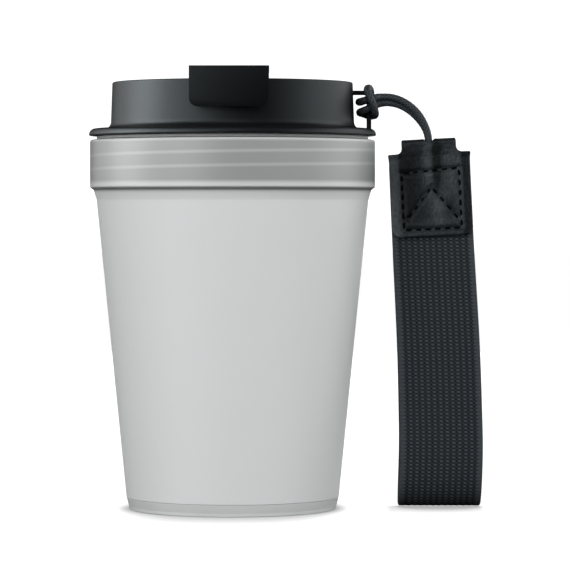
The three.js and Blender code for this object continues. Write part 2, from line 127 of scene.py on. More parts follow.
# Flip lever
TAB_HALF = 11.4
TAB_TOP = 129.4
TAB_BOTTOM = 117.8
TAB_FRONT = -38.8
TAB_THICKNESS = 1.8
TAB_CORNER = 2.4
PLATE_THICKNESS = 2.0
PLATE_TAPER_START = TAB_FRONT + 6
PLATE_TAPER_END_GAP = 6
BOSS_HEIGHT = 3.5  # of the bosses under the plate, over the plugs

# Cord and strap
CORD_RADIUS = 1.0
PATCH_TOP_X = 57.85
PATCH_TOP = 109.3
PATCH_LENGTH = 28.8
PATCH_HALF = 11.9
PATCH_NECK = 8.0
PATCH_SHOULDER = 4.15
PATCH_FILLET = 1.7
PATCH_CORNER = 2.5
PATCH_TILT = 2.9  # degrees, top towards the cup
FOLD_OUTER = 2.95  # half the thickness of the folded leather
LEATHER = 1.1
FOLD_RISE = 1.3  # height of the flattened fold above the straight faces
WEBBING_WIDTH = 24.55
WEBBING_THICKNESS = 1.4
STITCH_HALF = 8.5
STITCH_TOP = -9.6
STITCH_BOTTOM = -26.6

UPPER_STRAND = [
    (57.9, -1.1, 109.8), (57.0, -1.1, 113.0), (55.2, -1.05, 116.3), (52.6, -0.9, 119.0),
    (49.6, -0.75, 120.8), (46.6, -0.5, 121.65), (43.8, -0.2, 121.65),
]
LOWER_STRAND = [
    (43.8, 0.2, 119.8), (46.3, 0.4, 119.9), (49.1, 0.6, 119.3), (51.9, 0.75, 117.85),
    (54.6, 0.9, 115.5), (56.7, 1.0, 112.65), (57.7, 1.05, 109.8),
]
# The cow hitch: round the upright bar, over its top, down across the front and round again.
HITCH = [
    (41.9, -1.7, 121.35), (40.2, -2.1, 120.9), (38.3, -1.6, 120.4), (37.4, 0.0, 120.2),
    (38.3, 1.7, 120.4), (40.0, 2.2, 121.2), (40.8, 1.8, 122.7), (40.5, 0.4, 124.1),
    (39.9, -1.5, 124.1), (39.9, -3.2, 123.1), (40.6, -4.0, 121.3), (41.5, -4.1, 119.3),
    (42.0, -3.4, 117.35), (42.1, -1.8, 116.45), (41.7, 0.6, 116.25), (40.5, 2.1, 116.2),
    (38.6, 1.6, 116.8), (37.6, 0.0, 117.1), (38.5, -1.6, 117.5), (40.2, -2.1, 118.2),
    (42.0, -1.4, 119.2),
]
CORD_START = (57.95, -0.9, 106.4)
CORD_END = (57.75, 0.9, 106.4)

STRAP_LINE = [
    (61.3, 0.0), (61.8, 16.0), (61.65, 28.0), (60.9, 50.0), (59.2, 80.0), (57.85, 109.3),
]
# Middle line of the folded webbing from the side, as (y, z): down the front leg, up the back.
WEBBING_LINE = [
    (-0.85, 101.3), (-0.85, 92.0), (-0.85, 84.0), (-0.9, 70.0), (-1.0, 50.0), (-1.2, 28.0),
    (-1.3, 15.0), (-0.1, 6.6), (3.6, 1.9), (8.5, 0.8), (13.3, 1.9), (16.9, 6.6), (18.0, 15.0),
    (16.6, 28.0), (11.6, 50.0), (4.7, 70.0), (1.2, 78.5), (0.85, 84.0), (0.85, 92.0), (0.85, 101.3),
]


# ---------------------------------------------------------------- camera
CAMERA_PLACE = (27.5, -987.0, 88.0)
CAMERA_LENS = 210.7  # on a sensor 36 mm wide
CAMERA_DIP = 1.27  # degrees below level
CAMERA_TURN = 0.697  # degrees towards the left


def add_camera():
    data = bpy.data.cameras.new("camera")
    data.lens = CAMERA_LENS
    data.sensor_width = 36.0
    camera = bpy.data.objects.new("camera", data)
    camera.location = [length * MM for length in CAMERA_PLACE]
    camera.rotation_euler = (math.radians(90 - CAMERA_DIP), 0, math.radians(CAMERA_TURN))
    bpy.context.collection.objects.link(camera)
    bpy.context.scene.camera = camera


add_camera()


# ---------------------------------------------------------------- materials
def add_node(tree, kind, inputs=None, **settings):
    """Adds a node, sets its properties, and links or sets each named input."""
    node = tree.nodes.new("ShaderNode" + kind)
    for key, value in settings.items():
        setattr(node, key, value)
    for key, value in (inputs or {}).items():
        if isinstance(value, bpy.types.NodeSocket):
            tree.links.new(value, node.inputs[key])
        else:
            node.inputs[key].default_value = value
    return node


def calc(tree, operation, *values):
    node = add_node(tree, "Math", dict(enumerate(values)), operation=operation)
    return node.outputs[0]


def grey(level, tint=(1.0, 1.0, 1.0)):
    return (level * tint[0], level * tint[1], level * tint[2], 1.0)


def mix(tree, factor, first, second):
    node = add_node(tree, "Mix", {0: factor, 6: first, 7: second}, data_type="RGBA")
    return node.outputs[2]


def remap(tree, value, start, end, low=0.0, high=1.0, **settings):
    """Low where the value is start, high where it is end, and held there beyond them."""
    inputs = {0: value, 1: start, 2: end, 3: low, 4: high}
    return add_node(tree, "MapRange", inputs, **settings).outputs[0]


def noise(tree, vector, size, detail=2.0, stretch=(1.0, 1.0, 1.0)):
    """Noise from 0 to 1 whose blobs are about size millimetres across."""
    scaled = add_node(tree, "Mapping", {"Vector": vector, "Scale": stretch})
    inputs = {"Vector": scaled.outputs[0], "Scale": 1 / (size * MM), "Detail": detail}
    return add_node(tree, "TexNoise", inputs).outputs[0]


def new_material(name, roughness, **shader_values):
    """A material with one Principled shader. Returns the material, its tree, the shader and the
    object's own coordinates."""
    material = bpy.data.materials.new(name)
    material.use_nodes = True
    tree = material.node_tree
    shader = tree.nodes["Principled BSDF"]
    shader.inputs["Roughness"].default_value = roughness
    for key, value in shader_values.items():
        shader.inputs[key.replace("_", " ")].default_value = value
    place = add_node(tree, "TexCoord").outputs["Object"]
    return material, tree, shader, place


def set_bump(tree, shader, height, distance):
    bump = add_node(tree, "Bump", {"Height": height, "Distance": distance * MM, "Strength": 1.0})
    tree.links.new(bump.outputs[0], shader.inputs["Normal"])


def vary_roughness(tree, shader, factor, low, high):
    tree.links.new(remap(tree, factor, 0.0, 1.0, low, high), shader.inputs["Roughness"])


def plastic(name, level, roughness, tint=(1, 1, 1), grain=0.35, depth=0.012, **shader_values):
    """Moulded plastic: a fine spark-eroded grain and faint cloudy changes in tone and gloss."""
    material, tree, shader, place = new_material(name, roughness, **shader_values)
    clouds = noise(tree, place, 14)
    colour = mix(tree, clouds, grey(level * 0.92, tint), grey(level * 1.08, tint))
    tree.links.new(colour, shader.inputs["Base Color"])
    vary_roughness(tree, shader, clouds, roughness - 0.04, roughness + 0.04)
    set_bump(tree, shader, noise(tree, place, grain), depth)
    return material


def frosted_shell():
    """The outer shell: pale where it is hollow and a little darker towards the cone's top. Painted
    shade darkens the collar where the lid's dark skirt stands behind it and draws a dark line under
    the collar's step; the thread inside shows as faint slanted lines of painted light, and the
    rim's rounded top is lighter, a painted highlight."""
    material, tree, shader, place = new_material(
        "frosted_shell", 0.5, IOR=1.46, Coat_Roughness=COLLAR_ROUGHNESS)
    axes = add_node(tree, "SeparateXYZ", {0: place})
    x, y, z = (axes.outputs[i] for i in range(3))
    ramp = add_node(tree, "ValToRGB")
    tree.links.new(calc(tree, "DIVIDE", z, RIM_HEIGHT * MM), ramp.inputs[0])
    # Tone by height: the cone a little darker towards its top, a painted shade line under the
    # collar's step, a paler band at the collar's foot below the skirt's painted shade, the collar
    # in painted shade for the lid's dark skirt behind it, and a painted highlight at the rim.
    stops = [
        (0.0, SHELL_TONE),
        (CONE_TOP, SHELL_TONE * 0.9),
        (COLLAR_BOTTOM - 1.5, SHELL_TONE * 0.84),
        (COLLAR_BOTTOM - 0.7, SHELL_TONE * 0.2),
        (COLLAR_BOTTOM + 0.2, SHELL_TONE * 0.78),
        (COLLAR_BOTTOM + 1.0, SHELL_TONE * 0.78),
        (COLLAR_BOTTOM + 2.0, COLLAR_SHADED_TONE),
        (RIM_HEIGHT - 1.0, COLLAR_SHADED_TONE),
        (RIM_HEIGHT, SHELL_TONE * 0.8),
    ]
    bands = ramp.color_ramp.elements
    while len(bands) < len(stops):
        bands.new(0.5)
    for band, (height, tone) in zip(bands, stops):
        band.position = height / RIM_HEIGHT
        band.color = grey(tone, COOL)
    # Painted light: faint slanted lines where the thread inside the collar shows through.
    turn = calc(tree, "DIVIDE", calc(tree, "ARCTAN2", y, x), 2 * math.pi)
    above_start = calc(tree, "SUBTRACT", z, (CUP_THREAD_START + PITCH / 4) * MM)
    climb = calc(tree, "DIVIDE", above_start, PITCH * MM)
    phase = calc(tree, "FRACT", calc(tree, "SUBTRACT", climb, turn))
    off_crest = calc(tree, "ABSOLUTE", calc(tree, "SUBTRACT", phase, 0.5))
    line = remap(tree, off_crest, 0.2, 0.0, interpolation_type="SMOOTHSTEP")
    bottom, top = THREAD_SEEN
    from_below = remap(tree, z, bottom * MM, (bottom + 1) * MM)
    from_above = remap(tree, z, top * MM, (top - 1) * MM)
    threaded = calc(tree, "MULTIPLY", from_below, from_above)
    painted_thread_light = calc(tree, "MULTIPLY", calc(tree, "MULTIPLY", line, threaded), THREAD_PAINTED_LIGHT)
    clouds = noise(tree, place, 18)
    toned = mix(tree, painted_thread_light, ramp.outputs[0], grey(SHELL_TONE, COOL))
    cloudiness = calc(tree, "MULTIPLY", clouds, 0.07)
    colour = mix(tree, cloudiness, toned, grey(SHELL_TONE * 0.72, COOL))
    tree.links.new(colour, shader.inputs["Base Color"])
    step, collar = (COLLAR_BOTTOM - 1.2) * MM, (COLLAR_BOTTOM + 1.0) * MM
    roughness = remap(tree, z, step, collar, CONE_ROUGHNESS, COLLAR_ROUGHNESS)
    uneven = calc(tree, "MULTIPLY", calc(tree, "SUBTRACT", clouds, 0.5), 0.08)
    tree.links.new(calc(tree, "ADD", roughness, uneven), shader.inputs["Roughness"])
    bare, polished = (COLLAR_BOTTOM - 0.3) * MM, (COLLAR_BOTTOM + 2.0) * MM
    coat = remap(tree, z, bare, polished, 0.0, COLLAR_COAT)
    tree.links.new(coat, shader.inputs["Coat Weight"])
    set_bump(tree, shader, noise(tree, place, 0.3), 0.006)
    return material


def leather_material():
    """Black coated leather with a fine grain drawn out along the strap, made paler by the painted
    light that it reads from the mesh.
    """
    material, tree, shader, place = new_material(
        "leather", 0.5, Specular_IOR_Level=0.6, Specular_Tint=GLOSS_TINT)
    grain = noise(tree, place, 0.55, detail=4, stretch=(1.0, 1.0, 0.45))
    pores = add_node(tree, "TexVoronoi", {"Vector": place, "Scale": 1 / (0.7 * MM)}).outputs[0]
    # Painted light, stored on the mesh as relief.
    tone = add_node(tree, "Attribute", attribute_name="relief").outputs["Fac"]
    speckle = calc(tree, "ADD", calc(tree, "MULTIPLY", grain, 1.8), 0.1)
    painted_light_and_grain = calc(tree, "MULTIPLY", tone, speckle)
    colour = mix(tree, painted_light_and_grain, grey(0.001, DARK_COOL), grey(0.055, DARK_COOL))
    tree.links.new(colour, shader.inputs["Base Color"])
    vary_roughness(tree, shader, grain, 0.36, 0.5)
    relief = calc(tree, "ADD", grain, calc(tree, "MULTIPLY", pores, 0.35))
    set_bump(tree, shader, relief, 0.24)
    return material


def yarn_material(name, low, high, fibre, roughness=0.7, shine=0.15):
    """Black yarn with fine fibres, painted lighter on its raised parts and darker in its hollows:
    low is the painted shade and high the painted light. Reads the mesh's relief.
    """
    material, tree, shader, place = new_material(
        name, roughness, Specular_IOR_Level=shine, Specular_Tint=GLOSS_TINT)
    relief = add_node(tree, "Attribute", attribute_name="relief").outputs["Fac"]
    fibres = noise(tree, place, fibre, detail=3)
    fuzz = calc(tree, "ADD", calc(tree, "MULTIPLY", fibres, 0.8), 0.6)
    # Painted light on the raised parts and painted shade in the hollows, with the fibres.
    painted_light_and_grain = calc(tree, "MULTIPLY", relief, fuzz)
    colour = mix(tree, painted_light_and_grain, grey(low, DARK_COOL), grey(high, DARK_COOL))
    tree.links.new(colour, shader.inputs["Base Color"])
    vary_roughness(tree, shader, fibres, roughness - 0.1, roughness + 0.1)
    set_bump(tree, shader, fibres, 0.03)
    return material


COOL = (0.975, 1.0, 1.0)
DARK_COOL = (0.8, 0.93, 1.05)
GLOSS_TINT = (0.84, 0.95, 1.0, 1.0)
SHELL_TONE = 0.66
# Painted shade: the collar's tone, darkened for the lid's dark skirt behind it.
COLLAR_SHADED_TONE = 0.245
COLLAR_COAT = 0.8
# The thread's lines are painted light.
THREAD_SEEN = (99.0, 107.0)  # heights between which the thread's lines show
THREAD_PAINTED_LIGHT = 0.23  # how much of the shell's tone the thread's lines bring back
CONE_ROUGHNESS = 0.72
COLLAR_ROUGHNESS = 0.42

MATERIALS = {
    "shell": frosted_shell(),
    "base": plastic("base_plastic", 0.55, 0.5, COOL, IOR=1.46),
    "liner": plastic("liner_plastic", 0.6, 0.4, COOL),
    "lid": plastic("lid_plastic", 0.003, 0.44, DARK_COOL, IOR=1.6, Specular_Tint=GLOSS_TINT),
    "lever": plastic("lever_plastic", 0.0015, 0.44, DARK_COOL, IOR=1.5, Specular_Tint=GLOSS_TINT),
    "gasket": plastic("gasket_silicone", 0.3, 0.6, COOL, grain=0.8),
    "plug": plastic("plug_silicone", 0.03, 0.6, DARK_COOL, grain=0.8),
    "pin": plastic("pin_steel", 0.6, 0.3, depth=0.004, Metallic=1.0),
    "leather": leather_material(),
    # The webbing's and cord's two tones are painted shade in their hollows and painted light on
    # their raised parts.
    "webbing": yarn_material("webbing_yarn", 0.0005, 0.075, 0.4),
    "cord": yarn_material("cord_yarn", 0.002, 0.075, 0.2, roughness=0.5, shine=0.5),
    "thread": yarn_material("sewing_thread", 0.001, 0.004, 0.15),
}


# ---------------------------------------------------------------- mesh helpers
def grid_faces(rows, columns, wrap_rows=False, wrap_columns=False):
    """Quads of a grid of points held row by row."""
    row, column = np.meshgrid(
        np.arange(rows if wrap_rows else rows - 1),
        np.arange(columns if wrap_columns else columns - 1),
        indexing="ij",
    )
    next_row = (row + 1) % rows
    next_column = (column + 1) % columns
    corners = [row * columns + column, row * columns + next_column,
               next_row * columns + next_column, next_row * columns + column]
    return np.stack(corners, -1).reshape(-1, 4).tolist()


def loft(rings):
    """Points and faces of a closed body through rings of points, with flat ends."""
    rings = np.asarray(rings, float)
    count, around = rings.shape[:2]
    faces = grid_faces(count, around, wrap_columns=True)
    faces.append(list(range(around)))
    faces.append(list(range((count - 1) * around, count * around)))
    return rings.reshape(-1, 3), faces


def rounded(corners, steps=ARC_STEPS):
    """A closed outline through (a, b, radius) corners, each rounded to its radius."""
    outline = []
    count = len(corners)
    for i, (a, b, radius) in enumerate(corners):
        here = np.array((a, b), float)
        if radius <= 0:
            outline.append(here)
            continue
        before = np.array(corners[i - 1][:2], float) - here
        after = np.array(corners[(i + 1) % count][:2], float) - here
        before /= np.linalg.norm(before)
        after /= np.linalg.norm(after)
        half = 0.5 * math.acos(np.clip(before @ after, -1, 1))
        reach = radius / math.tan(half)
        start, end = here + before * reach, here + after * reach
        middle = before + after
        centre = here + middle / np.linalg.norm(middle) * radius / math.sin(half)
        first, last = (math.atan2(*(p - centre)[::-1]) for p in (start, end))
        sweep = (last - first + math.pi) % (2 * math.pi) - math.pi
        for t in np.linspace(0, 1, steps + 1):
            angle = first + sweep * t
            outline.append(centre + radius * np.array((math.cos(angle), math.sin(angle))))
    return np.array(outline)


def refined(outline, spacing):
    """The outline with extra points, so that no side is much longer than spacing."""
    points = []
    for i, here in enumerate(outline):
        ahead = outline[(i + 1) % len(outline)]
        parts = max(1, round(np.linalg.norm(ahead - here) / spacing))
        points += [here + (ahead - here) * k / parts for k in range(parts)]
    return np.array(points)


def thread_height(height, angle, start, start_angle, turns):
    """How far a single-start thread stands out, from 0 to 1."""
    fade_turns = 0.06
    part = ((angle - start_angle) / (2 * math.pi)) % 1.0
    best = np.zeros_like(height)
    for whole in range(int(turns) + 1):
        along = part + whole
        fade = np.clip(np.minimum(along, turns - along) / fade_turns, 0, 1)
        off = np.abs(height - start - PITCH * along)
        ridge = np.clip((THREAD_ROOT / 2 - off) / ((THREAD_ROOT - THREAD_CREST) / 2), 0, 1)
        best = np.maximum(best, ridge * fade)
    return best


def turned(outline, centre=(0, 0), steps=TURN_STEPS, thread=None):
    """Points and faces of a closed outline of (radius, height) turned about a vertical axis.
    Points on the axis are joined into one. thread is (lowest z, highest z, root radius, depth,
    start, start angle, turns) for a thread on the cylinder of that root radius."""
    outline = np.asarray(outline, float)
    angles = np.linspace(0, 2 * math.pi, steps, endpoint=False)
    radius = np.repeat(outline[:, 0:1], steps, 1)
    height = np.repeat(outline[:, 1:2], steps, 1)
    turn = np.repeat(angles[None], len(outline), 0)
    if thread:
        low, high, root, depth, *helix = thread
        on_root = (np.abs(radius - root) < 0.01) & (height > low) & (height < high)
        radius = radius + on_root * depth * thread_height(height, turn, *helix)
    x = centre[0] + radius * np.cos(turn)
    y = centre[1] + radius * np.sin(turn)
    points = np.stack([x, y, height], -1).reshape(-1, 3)
    faces = grid_faces(len(outline), steps, wrap_rows=True, wrap_columns=True)
    return points, faces


def tidy_mesh(mesh, crease):
    """Welds doubled points, drops empty faces, turns every face outwards and shades it smooth."""
    work = bmesh.new()
    work.from_mesh(mesh)
    bmesh.ops.remove_doubles(work, verts=work.verts, dist=1e-7)
    bmesh.ops.dissolve_degenerate(work, edges=work.edges, dist=1e-7)
    bmesh.ops.recalc_face_normals(work, faces=work.faces)
    work.to_mesh(mesh)
    work.free()
    mesh.shade_smooth()
    mesh.set_sharp_from_angle(angle=math.radians(crease))


def make_object(name, shape, crease=CREASE):
    points, faces = shape
    mesh = bpy.data.meshes.new(name)
    mesh.from_pydata((np.asarray(points) * MM).tolist(), [], faces)
    tidy_mesh(mesh, crease)
    obj = bpy.data.objects.new(name, mesh)
    bpy.context.collection.objects.link(obj)
    return obj


def apply_modifiers(obj):
    """Replaces the object's mesh by what its modifiers make of it."""
    evaluated = obj.evaluated_get(bpy.context.evaluated_depsgraph_get())
    mesh = bpy.data.meshes.new_from_object(evaluated)
    obj.modifiers.clear()
    obj.data = mesh
    tidy_mesh(mesh, CREASE)


def combine(target, other, operation):
    """Adds other to target, or cuts it away, or keeps what they share."""
    change = target.modifiers.new("change", "BOOLEAN")
    change.operation = operation
    change.solver = "EXACT"
    change.object = other
    apply_modifiers(target)
    bpy.data.objects.remove(other)


def bevel(obj, width):
    edge = obj.modifiers.new("bevel", "BEVEL")
    edge.width = width * MM
    edge.segments = 3
    edge.limit_method = "ANGLE"
    edge.angle_limit = math.radians(40)
    edge.harden_normals = False
    apply_modifiers(obj)


def finish_piece(obj, body, slot, material, *stands_for):
    obj.data.materials.clear()
    obj.data.materials.append(MATERIALS[material])
    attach(obj, body)
    if stands_for:
        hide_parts(*stands_for)
    return obj


def prism(outline, low, high, axis):
    """A flat outline stretched from low to high along an axis. The outline's two coordinates are
    the other two axes, in order."""
    rings = []
    for level in (low, high):
        ring = np.insert(np.asarray(outline, float), axis, level, axis=1)
        rings.append(ring)
    return loft(rings)


def circle(centre, radius, steps=64):
    angles = np.linspace(0, 2 * math.pi, steps, endpoint=False)
    return np.stack([centre[0] + radius * np.cos(angles), centre[1] + radius * np.sin(angles)], -1)


def smooth_line(points, spacing):
    """A Catmull-Rom line through the points, at even spacing, and the distance along it."""
    samples = 24  # between two of the points
    points = np.asarray(points, float)
    padded = np.vstack([2 * points[0] - points[1], points, 2 * points[-1] - points[-2]])
    line = []
    for i in range(len(points) - 1):
        p0, p1, p2, p3 = padded[i : i + 4]
        t = np.linspace(0, 1, samples, endpoint=False)[:, None]
        line.append(0.5 * (2 * p1 + (p2 - p0) * t + (2 * p0 - 5 * p1 + 4 * p2 - p3) * t**2
                           + (3 * p1 - p0 - 3 * p2 + p3) * t**3))
    line = np.vstack(line + [points[-1:]])
    steps = np.linalg.norm(np.diff(line, axis=0), axis=1)
    distance = np.concatenate([[0], np.cumsum(steps)])
    count = max(2, round(distance[-1] / spacing) + 1)
    even = np.linspace(0, distance[-1], count)
    columns = [np.interp(even, distance, line[:, k]) for k in range(points.shape[1])]
    return np.stack(columns, -1), even


def set_relief_and_light(obj, values):
    """Stores a value from 0 to 1 at every point, for the material to read: a height on the cord and
    the webbing, painted light on the leather.
    """
    attribute = obj.data.attributes.new("relief", "FLOAT", "POINT")
    attribute.data.foreach_set("value", np.asarray(values, np.float32).ravel())


def raw_object(name, shape, relief):
    """An object with a value from 0 to 1 on each of its points, stored as relief."""
    points, faces = shape
    mesh = bpy.data.meshes.new(name)
    mesh.from_pydata((np.asarray(points) * MM).tolist(), [], faces)
    obj = bpy.data.objects.new(name, mesh)
    bpy.context.collection.objects.link(obj)
    set_relief_and_light(obj, relief)
    tidy_mesh(mesh, SOFT_CREASE)
    return obj


# ---------------------------------------------------------------- cord
def frames_along(line):
    """For each point of a line, two directions square to it that turn as little as possible."""
    tangent = np.gradient(line, axis=0)
    tangent /= np.linalg.norm(tangent, axis=1)[:, None]
    side = np.cross(tangent[0], (0.0, 1.0, 0.0))
    side /= np.linalg.norm(side)
    sides = []
    for t in tangent:
        side = side - t * (side @ t)
        side /= np.linalg.norm(side)
        sides.append(side)
    sides = np.array(sides)
    return sides, np.cross(tangent, sides)


def braid(angle, distance):
    """Height, from 0 to 1, of a round braid: two sets of strands that cross over and under."""
    strands = 6
    lay = 2 * math.pi / 7.5  # one turn of a strand in 7.5 mm
    left = strands * (angle + lay * distance)
    right = strands * (angle - lay * distance)
    over = 0.5 + 0.5 * np.sin((left + right) / 2) * np.sin((left - right) / 2)
    ridge = np.maximum(np.abs(np.cos(left / 2)) * over, np.abs(np.cos(right / 2)) * (1 - over))
    return np.clip(1.25 * ridge, 0, 1)


BRAID_DEPTH = 0.14
CREST_RISE = 0.06  # how far the braid's crests stand outside the cord's radius
KNOT_SWELL = 0.14  # and how much further in the hitch


def make_cord():
    around = 36
    route = [CORD_START, *UPPER_STRAND, *HITCH, *LOWER_STRAND, CORD_END]
    line, distance = smooth_line(route, 0.11)
    side, other = frames_along(line)
    angle = np.linspace(0, 2 * math.pi, around, endpoint=False)[None]
    height = braid(angle, distance[:, None])
    knotted = np.clip((EYE_X + 5.5 - line[:, 0]) / 3, 0, 1)[:, None]
    crest = CORD_RADIUS + CREST_RISE + KNOT_SWELL * knotted
    radius = (crest - BRAID_DEPTH * (1 - height))[..., None]
    rings = line[:, None] + radius * (side[:, None] * np.cos(angle)[..., None]
                                      + other[:, None] * np.sin(angle)[..., None])
    obj = raw_object("cord_loop", loft(rings), height)
    obj.data.materials.append(MATERIALS["cord"])
    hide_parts("cord_hitch", "cord_upper_strand", "cord_lower_strand")
    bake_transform(obj)
    return obj


make_cord()


# ---------------------------------------------------------------- cup
def cone_radius(height):
    return CONE_RADIUS + CONE_FLARE * height


def make_base_cap():
    foot = cone_radius(0)
    lip = cone_radius(FOOT_HEIGHT) - SHELL_WALL - PIECE_GAP
    outline = rounded([
        (0, 0.6, 0), (foot - 3.2, 0.6, 0.4), (foot - 2.8, 0, 0.3),
        (foot - 0.38, 0, 0.25), (foot - 0.33, 1.0, 0.4),
        (cone_radius(FOOT_HEIGHT), FOOT_HEIGHT, 0.1), (lip, FOOT_HEIGHT, 0), (lip, 6.5, 0.4),
        (lip - SHELL_WALL, 6.5, 0.4), (lip - SHELL_WALL, 1.8, 0.6), (0, 1.8, 0),
    ])
    obj = make_object("foot_cap", turned(outline))
    finish_piece(obj, "cup", "base_cap", "base", "base_cap")


def make_outer_shell():
    bottom = FOOT_HEIGHT + PIECE_GAP * 0.25
    outline = rounded([
        (cone_radius(bottom) - SHELL_WALL, bottom, 0), (cone_radius(bottom), bottom, 0.15),
        (cone_radius(CONE_TOP), CONE_TOP, 4.0), (41.0, 94.2, 0.8),
        (COLLAR_RADIUS, COLLAR_BOTTOM, 0.5), (COLLAR_RADIUS, RIM_HEIGHT, 0.7),
        (COLLAR_BORE, RIM_HEIGHT, 0.3), (COLLAR_BORE, 94.1, 0),
        (cone_radius(CONE_TOP) - SHELL_WALL, CONE_TOP, 0),
    ])
    obj = make_object("frosted_shell", turned(outline))
    finish_piece(obj, "cup", "outer_shell", "shell", "outer_shell")


def make_inner_cup():
    outer, floor = LINER_BOTTOM_RADIUS, LINER_BOTTOM + LINER_WALL
    outline = rounded([
        (0, LINER_BOTTOM, 0), (outer, LINER_BOTTOM, 3.0), (LINER_TOP_RADIUS, LINER_TOP, 1.5),
        (NECK_RADIUS, NECK_BOTTOM, 0.5), (NECK_RADIUS, RIM_HEIGHT, 0.3),
        (NECK_BORE, RIM_HEIGHT, 0.4), (NECK_BORE, NECK_BOTTOM + 1.2, 0.5),
        (LINER_TOP_RADIUS - LINER_WALL, LINER_TOP + 0.8, 1.0),
        (outer - LINER_WALL, floor, 2.0), (0, floor, 0),
    ])
    thread = (98, 108.4, NECK_BORE, -THREAD_DEPTH, CUP_THREAD_START, -1.5 * math.pi, 2.0)
    obj = make_object("liner", turned(refined(outline, 0.3), thread=thread))
    finish_piece(obj, "cup", "inner_cup", "liner", "inner_cup")


def make_gasket():
    bottom, top = RIM_HEIGHT + 0.15, FLANGE_BOTTOM - 0.15
    outline = rounded([
        (GASKET_INNER, bottom, 0.2), (GASKET_OUTER, bottom, 0.2),
        (GASKET_OUTER, top, 0.2), (GASKET_INNER, top, 0.2),
    ])
    obj = make_object("seal_ring", turned(outline))
    finish_piece(obj, "seal", "gasket", "gasket", "lid_gasket")


# ---------------------------------------------------------------- lid
def make_lid_body():
    deck_bottom = DECK_TOP - DECK_THICKNESS
    bore = DRUM_TOP_RADIUS - DRUM_WALL
    rim = DRUM_TOP_RADIUS - DRUM_RIM
    outline = rounded([
        (0, deck_bottom, 0), (bore, deck_bottom, 0.8), (bore, FLANGE_TOP, 0.6),
        (SKIRT_BORE, FLANGE_BOTTOM - 1, 0.5), (SKIRT_BORE, SKIRT_BOTTOM, 0.3),
        (SKIRT_RADIUS, SKIRT_BOTTOM, 0.7), (SKIRT_RADIUS, FLANGE_BOTTOM, 0.3),
        (FLANGE_RADIUS, FLANGE_BOTTOM, 0.3), (FLANGE_RADIUS, FLANGE_TOP, FLANGE_CORNER),
        (DRUM_FOOT_RADIUS, FLANGE_TOP, DRUM_FILLET), (DRUM_TOP_RADIUS, DRUM_TOP, 0.45),
        (rim, DRUM_TOP, 0.5), (rim, DECK_TOP, 0.8), (0, DECK_TOP, 0),
    ])
    thread = (97.8, 109.0, SKIRT_RADIUS, THREAD_DEPTH, LID_THREAD_START, 0.0, 1.5)
    lid = make_object("lid_drum", turned(refined(outline, 0.4), thread=thread))
    eye_outer = EYE_X + EYE_WIDTH / 2
    eye_top = EYE_TOP_Z + EYE_TOP_BAR / 2
    foot = FLANGE_TOP - 0.6
    inner = DRUM_TOP_RADIUS - 1
    eye = rounded([
        (inner, eye_top - EYE_TOP_BAR, 0), (EYE_X - EYE_WIDTH / 2, eye_top - EYE_TOP_BAR, 0.5),
        (EYE_X - EYE_WIDTH / 2, foot, 0), (eye_outer, foot, 0),
        (eye_outer, eye_top, 0.9), (inner, eye_top, 0),
    ])
    hook = make_object("eye", prism(eye, -EYE_DEPTH / 2, EYE_DEPTH / 2, 1))
    bevel(hook, 0.25)
    combine(lid, hook, "UNION")
    front, back = HINGE_Y - BARREL_RADIUS, HINGE_Y + BARREL_RADIUS
    for side in (-1, 1):
        near = side * (BARREL_HALF + 0.3)
        far = near + side * EAR_WIDTH
        ear = rounded([
            (front, DECK_TOP - 0.5, 0), (back, DECK_TOP - 0.5, 0),
            (back, HINGE_Z + BARREL_RADIUS, BARREL_RADIUS - 0.01),
            (front, HINGE_Z + BARREL_RADIUS, BARREL_RADIUS - 0.01),
        ], 12)
        post = make_object("ear", prism(ear, min(near, far), max(near, far), 0))
        bevel(post, 0.3)
        combine(lid, post, "UNION")
    cut_hole(lid, prism(circle((0, SPOUT_Y), SPOUT_RADIUS), DECK_TOP - 4, DECK_TOP + 4, 2))
    cut_hole(lid, prism(circle((0, VENT_Y), VENT_RADIUS, 32), DECK_TOP - 4, DECK_TOP + 4, 2))
    cut_hole(lid, prism(circle((HINGE_Y, HINGE_Z), PIN_RADIUS + PIECE_GAP, 32), -20, 20, 0))
    finish_piece(lid, "lid", "lid", "lid", "lid_body")


def cut_hole(obj, shape):
    combine(obj, make_object("hole", shape), "DIFFERENCE")


def make_hinge_pin():
    half = BARREL_HALF + 0.3 + EAR_WIDTH
    shape = prism(circle((HINGE_Y, HINGE_Z), PIN_RADIUS, 40), -half, half, 0)
    obj = make_object("lever_pin", shape)
    bevel(obj, 0.2)
    finish_piece(obj, "lid", "hinge_pin", "pin", "hinge_pin")


